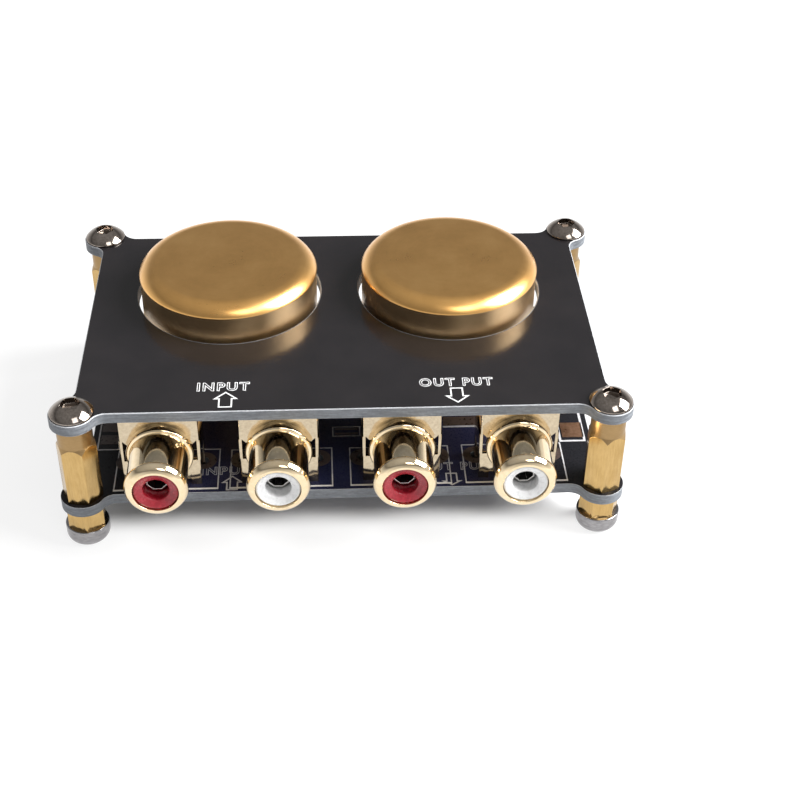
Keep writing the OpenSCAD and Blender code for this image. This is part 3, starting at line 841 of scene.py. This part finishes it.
# drawn barrel, half section in mm from the bracket's front face
barrelShell = {
    "section": [(2.95, -0.95), (3.8, -0.95, 0.12), (3.8, -0.5), (3.4, -0.5), (3.4, 0), (4.4, 0),
                (4.4, 1.1, 0.4), (3.9, 1.1, 0.12), (3.9, 6.8, 0.3), (4.1, 7.1, 0.12), (4.1, 7.4, 0.6),
                (3.75, 8.0, 0.9), (3.2, 8.3, 0.6), (2.95, 8.3, 0.08), (2.95, -0.95)],
    "steps": 112,
}

# moulded insert with a dished face and the plug hole
insertRing = {
    "section": [(0.55, -3.95), (3.8, -3.95, 0.2), (3.8, -0.95), (2.9, -0.95), (2.9, 8.1, 0.25),
                (2.6, 8.1, 0.15), (1.675, 7.65, 0.2), (1.675, 6.0), (1.95, 6.0), (1.95, -0.95),
                (0.55, -0.95), (0.55, -3.95)],
    "steps": 96,
}

# folded spring contact: an eight-sided tube with an open seam, a stem and a solder tail; the inside is painted
# dark as shade
springContact = {"sides": 8, "flats": 2.9, "sheet": 0.28, "front": 6.0, "back": -0.95, "stem": 1.0,
                 "stemBack": -4.45, "overlap": 0.1, "tail": 0.5, "cap": 0.25, "steps": 24, "soft": 0.06,
                 "near": 0.01, "slack": 0.05, "brightEdge": 0.1, "faceOn": 0.9}


def jackAxis(jack):
    low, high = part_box(jack + "_barrel")
    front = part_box(jack + "_bracket")[0].y
    return Vector(((low.x + high.x) / 2, front, (low.z + high.z) / 2))


def buildBracket(jack):
    axis, near = jackAxis(jack), bracketSheet["near"] * mm
    piece = copyNode(jack + "_bracket", jack + "_bracket_sheet")
    outer = (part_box(jack + "_bracket")[1].x - axis.x) - near
    pick(piece, "EDGE", lambda spot: abs(spot.x - axis.x) > outer and abs(spot.y - axis.y) < near)
    bpy.ops.mesh.bevel(offset=bracketSheet["fold"] * mm, segments=4)
    bpy.ops.object.mode_set(mode="OBJECT")
    soften(piece, bracketSheet["soft"])
    dress(piece, ("goldSheet",), (jack + "_bracket",))


def buildTurned(jack, plan, ending, paint, node):
    points = roundProfile(plan["section"])
    piece = spinProfile(jack + ending, points, jackAxis(jack), toFront, plan["steps"])
    shadeByAngle(piece, 40)
    dress(piece, (paint,), (jack + node,))


def buildContact(jack):
    plan, axis = springContact, jackAxis(jack)
    centre = axis / mm
    front, back, capR = plan["front"], plan["back"], plan["flats"] / 2
    clearSelection()
    bpy.ops.mesh.primitive_cylinder_add(vertices=plan["sides"], depth=(front - back) * mm,
                                        radius=capR / math.cos(math.pi / plan["sides"]) * mm,
                                        end_fill_type="NOTHING", rotation=(math.pi / 2, 0, 0),
                                        location=axis + toFront * ((front + back) / 2 * mm))
    tube = bpy.context.object
    bpy.ops.object.mode_set(mode="EDIT")
    bpy.ops.transform.rotate(value=math.pi / plan["sides"], orient_axis="Y", center_override=tube.location)
    bpy.ops.object.mode_set(mode="OBJECT")
    settle(tube)
    highest = max(vertex.co.z for vertex in tube.data.vertices)
    pick(tube, "FACE", lambda spot: spot.z > highest - plan["near"] * mm)
    bpy.ops.mesh.delete(type="FACE")
    bpy.ops.object.mode_set(mode="OBJECT")
    applyModifier(tube, "SOLIDIFY", thickness=plan["sheet"] * mm, offset=-1)
    stem, stemBack = plan["stem"] / 2, plan["stemBack"]
    stemFront, capFront = back + plan["overlap"], back + plan["cap"]
    rod = spinProfile("stem", [(0, stemBack), (stem, stemBack), (stem, stemFront), (0, stemFront)],
                      axis, toFront, plan["steps"])
    cap = spinProfile("cap", [(0, back), (capR, back), (capR, capFront), (0, capFront)],
                      axis, toFront, plan["steps"])
    low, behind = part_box(jack + "_contact")[0].z / mm, centre.y - stemBack
    tail = addBox((centre.x - stem, behind - plan["tail"], low), (centre.x + stem, behind, centre.z))
    piece = joinAll([tube, rod, cap, tail], jack + "_contact_spring")
    soften(piece, plan["soft"])
    dress(piece, ("springTin", "tinInPaintedShade"), (jack + "_contact",))
    # faces inside the tube, and those facing forward, short of the front edge, take the painted shade
    inner = (capR - plan["sheet"] + plan["slack"]) * mm
    for face in piece.data.polygons:
        spoke = face.center - axis
        deep = -spoke.y / mm
        spoke.y = 0
        inward = face.normal.dot(spoke) < 0 or face.normal.dot(toFront) > plan["faceOn"]
        within = back < deep < front - plan["brightEdge"] and spoke.length < inner
        face.material_index = int(within and inward)


for jack in jackNames:
    colour = "red" if jack.endswith("right") else "white"
    buildBracket(jack)
    buildTurned(jack, barrelShell, "_barrel_shell", "goldPlate", "_barrel")
    buildTurned(jack, insertRing, "_insert_ring", colour + "Insert", "_insert")
    buildContact(jack)
print("jacks: four brackets, barrels, inserts and contacts")


# white print of both boards, in mm from the origin; level is the height of the face it lies on
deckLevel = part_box("base_board")[1].z / mm
faceLevel = plateHigh.z / mm
inkLook = {"thick": 0.03, "sunk": 0.01, "letter": 3, "spacing": 1.22, "near": 0.01, "step": 0.001,
           "stripLift": 0.004, "stripBelow": 0.01}


def liftInk(piece, paint):
    applyModifier(piece, "SOLIDIFY", thickness=(inkLook["thick"] + inkLook["sunk"]) * mm, offset=1)
    dress(piece, (paint,))


def addSheet(low, high, level):
    clearSelection()
    middle = ((low[0] + high[0]) / 2 * mm, (low[1] + high[1]) / 2 * mm, (level - inkLook["sunk"]) * mm)
    bpy.ops.mesh.primitive_plane_add(size=1, location=middle)
    bpy.ops.object.mode_set(mode="EDIT")
    bpy.ops.transform.resize(value=((high[0] - low[0]) * mm, (high[1] - low[1]) * mm, 1))
    bpy.ops.object.mode_set(mode="OBJECT")
    return settle(bpy.context.object)


def hollowOut(piece, line):
    # an inset leaves the outline and the middle goes
    makeActive(piece)
    bpy.ops.object.mode_set(mode="EDIT")
    bpy.ops.mesh.select_mode(type="FACE")
    bpy.ops.mesh.select_all(action="SELECT")
    bpy.ops.mesh.inset(thickness=line * mm, depth=0)
    bpy.ops.mesh.delete(type="FACE")
    bpy.ops.object.mode_set(mode="OBJECT")
    return piece


def printStroke(name, low, high, level, ink):
    liftInk(namePiece(name, addSheet(low, high, level)), ink)


def printFrame(name, low, high, level, line, ink):
    liftInk(namePiece(name, hollowOut(addSheet(low, high, level), line)), ink)


def printArrow(item, level, line, ink):
    # drawn along Y from its foot to its tip: shaft first, then the head
    x, tip = item["tip"]
    foot, neck, shaft = item["foot"], item["neck"], item["shaft"]
    step = inkLook["step"] if tip > foot else -inkLook["step"]
    piece = addSheet((x - shaft / 2, min(foot, neck)), (x + shaft / 2, max(foot, neck)), level)
    pick(piece, "EDGE", lambda spot: abs(spot.y - neck * mm) < inkLook["near"] * mm)
    centre = (x * mm, neck * mm, (level - inkLook["sunk"]) * mm)
    bpy.ops.mesh.extrude_edges_move(TRANSFORM_OT_translate={"value": (0, step * mm, 0)})
    bpy.ops.transform.resize(value=(item["head"] / shaft, 1, 1), center_override=centre)
    bpy.ops.mesh.extrude_edges_move(TRANSFORM_OT_translate={"value": (0, tip * mm - neck * mm, 0)})
    bpy.ops.mesh.merge(type="CENTER")
    bpy.ops.mesh.select_all(action="SELECT")
    bpy.ops.mesh.normals_make_consistent(inside=False)
    bpy.ops.mesh.dissolve_limited(angle_limit=math.radians(1), use_dissolve_boundaries=False)
    bpy.ops.object.mode_set(mode="OBJECT")
    liftInk(namePiece(item["name"], hollowOut(piece, line)), ink)


def printWord(item, level, line, bolder, ink):
    # outlined letters, stretched to the measured width and height
    clearSelection()
    bpy.ops.object.text_add()
    text = bpy.context.object.data
    text.body = item["word"]
    text.align_x = "CENTER"
    text.size = inkLook["letter"] * mm
    text.space_character = inkLook["spacing"]
    text.offset = bolder * mm
    text.fill_mode = "NONE"
    text.bevel_depth = line / 2 * mm
    text.bevel_resolution = 1
    text.resolution_u = 4
    bpy.ops.object.convert(target="MESH")
    piece = settle(bpy.context.object)
    sides = [[vertex.co[axis] for vertex in piece.data.vertices] for axis in (0, 1)]
    wide, tall = (max(side) - min(side) for side in sides)
    middleX, middleY = ((max(side) + min(side)) / 2 for side in sides)
    stretch = Vector((item["size"][0] * mm / wide, item["size"][1] * mm / tall, 2 * inkLook["thick"] / line))
    bpy.ops.object.mode_set(mode="EDIT")
    bpy.ops.mesh.select_all(action="SELECT")
    bpy.ops.transform.translate(value=(-middleX, -middleY, 0))
    bpy.ops.transform.resize(value=stretch, center_override=(0, 0, 0))
    bpy.ops.transform.translate(value=(item["middle"][0] * mm, item["middle"][1] * mm, level * mm))
    bpy.ops.object.mode_set(mode="OBJECT")
    dress(namePiece(item["name"], piece), (ink,))


coverPrint = {
    "words": [
        {"name": "print_cover_input", "word": "INPUT", "middle": (-15.52, -14.24), "size": (6.85, 1.86)},
        {"name": "print_cover_output", "word": "OUT PUT", "middle": (14.80, -14.19), "size": (9.70, 1.80)},
    ],
    "arrows": [
        {"name": "print_cover_arrow_in", "tip": (-15.15, -15.36), "foot": -18.62, "neck": -16.91,
         "head": 3.25, "shaft": 1.80},
        {"name": "print_cover_arrow_out", "tip": (14.72, -18.62), "foot": -15.45, "neck": -17.11,
         "head": 3.25, "shaft": 1.70},
    ],
    "letterLine": 0.17,
    "bolder": 0.06,
    "arrowLine": 0.19,
    "ink": "whiteInk",
}

deckPrint = {
    "words": [
        {"name": "print_deck_input", "word": "INPUT", "middle": (-15.9, -15.1), "size": (6.85, 1.70)},
        {"name": "print_deck_output", "word": "OUT PUT", "middle": (15.0, -15.2), "size": (9.70, 1.70)},
    ],
    "arrows": [
        {"name": "print_deck_arrow_in", "tip": (-14.98, -16.18), "foot": -19.10, "neck": -17.62,
         "head": 2.95, "shaft": 1.60},
        {"name": "print_deck_arrow_out", "tip": (14.45, -19.15), "foot": -16.62, "neck": -18.20,
         "head": 2.85, "shaft": 1.60},
    ],
    "letterLine": 0.15,
    "bolder": 0.05,
    "arrowLine": 0.20,
    # the deck print is painted greyer, as shade under the cover
    "ink": "shadedInk",
    "frames": [
        ("print_frame_input_right", (-30.70, -18.80), (-16.78, -10.45)),
        ("print_frame_input_left", (-15.34, -18.80), (-1.50, -10.70)),
        ("print_frame_output_right", (0.80, -18.80), (14.45, -10.80)),
        ("print_frame_output_left", (16.26, -18.80), (30.10, -10.70)),
    ],
    "parts": [
        ("print_part_right", (30.05, -10.55), (33.75, -3.6), 0.32),
        ("print_part_left", (-33.75, -10.25), (-30.6, -3.6), 0.20),
        ("print_part_middle", (-1.45, -8.35), (2.45, -6.2), 0.15),
    ],
    "strokes": [("print_stroke_output", (14.1, -6.85), (19.3, -6.55))],
    "frameLine": 0.17,
    "frontLine": 0.28,
}


def printBoard(plan, level):
    ink = plan["ink"]
    for item in plan["words"]:
        printWord(item, level, plan["letterLine"], plan["bolder"], ink)
    for item in plan["arrows"]:
        printArrow(item, level, plan["arrowLine"], ink)
    for name, low, high in plan.get("frames", []):
        printFrame(name, low, high, level, plan["frameLine"], ink)
        # a bolder line along the front of each frame, in white ink: the front is painted lit and the rest of
        # the deck print painted in shade
        below, above = (low[0], low[1] - inkLook["stripBelow"]), (high[0], low[1] + plan["frontLine"])
        printStroke(name + "_front", below, above, level + inkLook["stripLift"], "whiteInk")
    for name, low, high, line in plan.get("parts", []):
        printFrame(name, low, high, level, line, ink)
    for name, low, high in plan.get("strokes", []):
        printStroke(name, low, high, level, ink)


printBoard(coverPrint, faceLevel)
printBoard(deckPrint, deckLevel)
print("print: words, arrows and frames on both boards")


# copper on the circuit board: rings round the tails, covered lands, and one land left bare
copperLands = {
    "armRing": (1.75, 0.76),
    "stemRing": (1.3, 0.66),
    "arms": ((-5.05, 4.8), (5.05, 4.8)),
    "stem": (0, 4.2),
    "covered": [
        ((-33.4, -9.0), (-30.9, -7.0)), ((-33.4, -6.3), (-30.9, -4.2)),
        ((-1.1, -6.95), (2.1, -6.55)), ((-1.1, -7.95), (2.1, -7.55)),
        ((14.2, -6.5), (19.4, -4.5)),
    ],
    "bare": ((30.6, -9.6), (33.6, -6.4)),
}


def addRing(outer, inner, place, steps=40):
    clearSelection()
    bpy.ops.mesh.primitive_circle_add(vertices=steps, radius=outer * mm, fill_type="NGON", location=place)
    piece = settle(bpy.context.object)
    return hollowOut(piece, outer - inner)


def buildCopper():
    plan = copperLands
    parts = []
    level = upward * (deckLevel - inkLook["sunk"]) * mm
    for jack in jackNames:
        axis = jackAxis(jack)
        foot = Vector((axis.x, axis.y, 0)) + level
        for arm in plan["arms"]:
            parts.append(addRing(*plan["armRing"], foot + Vector((*arm, 0)) * mm))
        parts.append(addRing(*plan["stemRing"], foot + Vector((*plan["stem"], 0)) * mm))
    for low, high in plan["covered"]:
        parts.append(addSheet(low, high, deckLevel))
    liftInk(joinAll(parts, "covered_copper"), "maskedCopper")
    printStroke("bare_copper", *plan["bare"], deckLevel, "bareCopper")


# a thin ring, paler than the mask, round each can opening
openingRim = {"opening": 12.8, "wide": 0.08, "steps": 128}


def buildRims():
    rims = []
    for side in canSides:
        low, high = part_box(side + "_can")
        place = Vector(((low.x + high.x) / 2, (low.y + high.y) / 2, (faceLevel - inkLook["sunk"]) * mm))
        inner = openingRim["opening"] + boards["chamfer"]
        rims.append(addRing(inner + openingRim["wide"], inner, place, openingRim["steps"]))
    liftInk(joinAll(rims, "opening_rims"), "rimLine")


buildCopper()
buildRims()
print("copper: rings and lands on the circuit board, rims on the cover")


# solder fillets under the board, drawn up hollow round each tail
solderLook = {"wide": 1.2, "tail": 0.62, "hollow": 2.2, "sunk": 0.02, "pinInset": 0.4, "turn": 37,
              "steps": 28, "rings": 7}


def buildSolder():
    plan = solderLook
    low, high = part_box("solder_joints")
    tall, inset = (high.z - low.z) / mm, plan["pinInset"] * mm
    spots = []
    for jack in jackNames:
        axis = jackAxis(jack)
        for aside, behind in (*copperLands["arms"], copperLands["stem"]):
            spots.append(Vector((axis.x + aside * mm, axis.y + behind * mm, high.z)))
    for side in canSides:
        pinLow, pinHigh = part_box(side + "_pins")
        for x in (pinLow.x + inset, pinHigh.x - inset):
            for y in (pinLow.y + inset, pinHigh.y - inset):
                spots.append(Vector((x, y, high.z)))
    section = [(0, plan["sunk"])]
    for k in range(plan["rings"] + 1):
        share = k / plan["rings"]
        out = plan["tail"] + (plan["wide"] - plan["tail"]) * (1 - share) ** plan["hollow"]
        section.append((out, -tall * share))
    section.append((0, -tall))
    drop = spinProfile("solderDrop", section, origin, upward, plan["steps"])
    piece = spread(drop, "solder_fillets", [(spot, plan["turn"] * i) for i, spot in enumerate(spots)])
    shadeByAngle(piece, 50)
    dress(piece, ("softSolder",), ("solder_joints",))


buildSolder()
print("solder: fillets under the circuit board")


# CAD nodes inside the cans keep their shape and get their finish
insideFinish = {"core": "coreIron", "primary_winding": "enamelWire", "secondary_winding": "enamelWire",
                "disc": "phenolicDisc", "pins": "springTin"}
for side in canSides:
    for ending, paintName in insideFinish.items():
        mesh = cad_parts[side + "_" + ending].data
        mesh.materials.clear()
        mesh.materials.append(paints[paintName])
print("inside: cores, windings, discs and pins painted")
